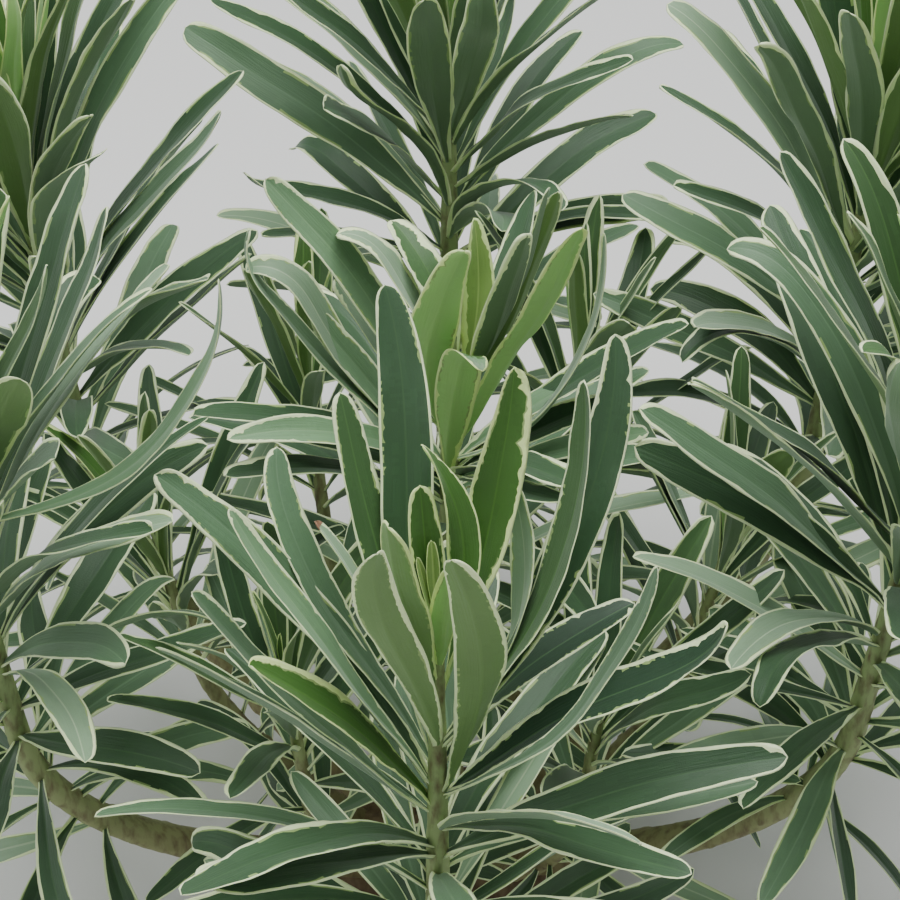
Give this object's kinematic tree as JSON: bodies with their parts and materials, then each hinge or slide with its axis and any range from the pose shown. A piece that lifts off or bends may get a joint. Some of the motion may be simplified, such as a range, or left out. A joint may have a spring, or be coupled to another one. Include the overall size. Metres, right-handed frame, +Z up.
{
  "type": "mediterranean spurge clump",
  "caption": "Low clump of upright leafy shoots with cream-edged grey-green leaves, old and young, rising from one woody crown rooted in the ground.",
  "frame": {"origin": "middle of the flat cut under the woody crown, at ground level", "axes": "+Z up along the centre shoot, -Y towards the front shoot, +X to the right seen from the front"},
  "size_m": [0.4175, 0.4453, 0.3066],
  "materials": {
    "crown": "rough grey-brown bark with leaf scars",
    "stem": "dull green-brown stem with raised leaf scars",
    "leaf": "matt to satin grey-green leaf with a cream edge"
  },
  "bodies": {
    "root": {"crown": "crown", "stem_front": "stem", "stem_centre": "stem", "stem_left": "stem", "stem_right": "stem", "stem_back_left": "stem", "stem_back_right": "stem", "stem_back": "stem", "leaves_front": "leaf", "leaves_centre": "leaf", "leaves_left": "leaf", "leaves_right": "leaf", "leaves_back_left": "leaf", "leaves_back_right": "leaf", "leaves_back": "leaf", "leaves_young_right": "leaf", "leaves_young_left": "leaf", "leaves_young_front_right": "leaf", "leaves_young_front_left": "leaf", "leaves_young_back_right": "leaf", "leaves_young_back_left": "leaf"}
  },
  "joints": []
}
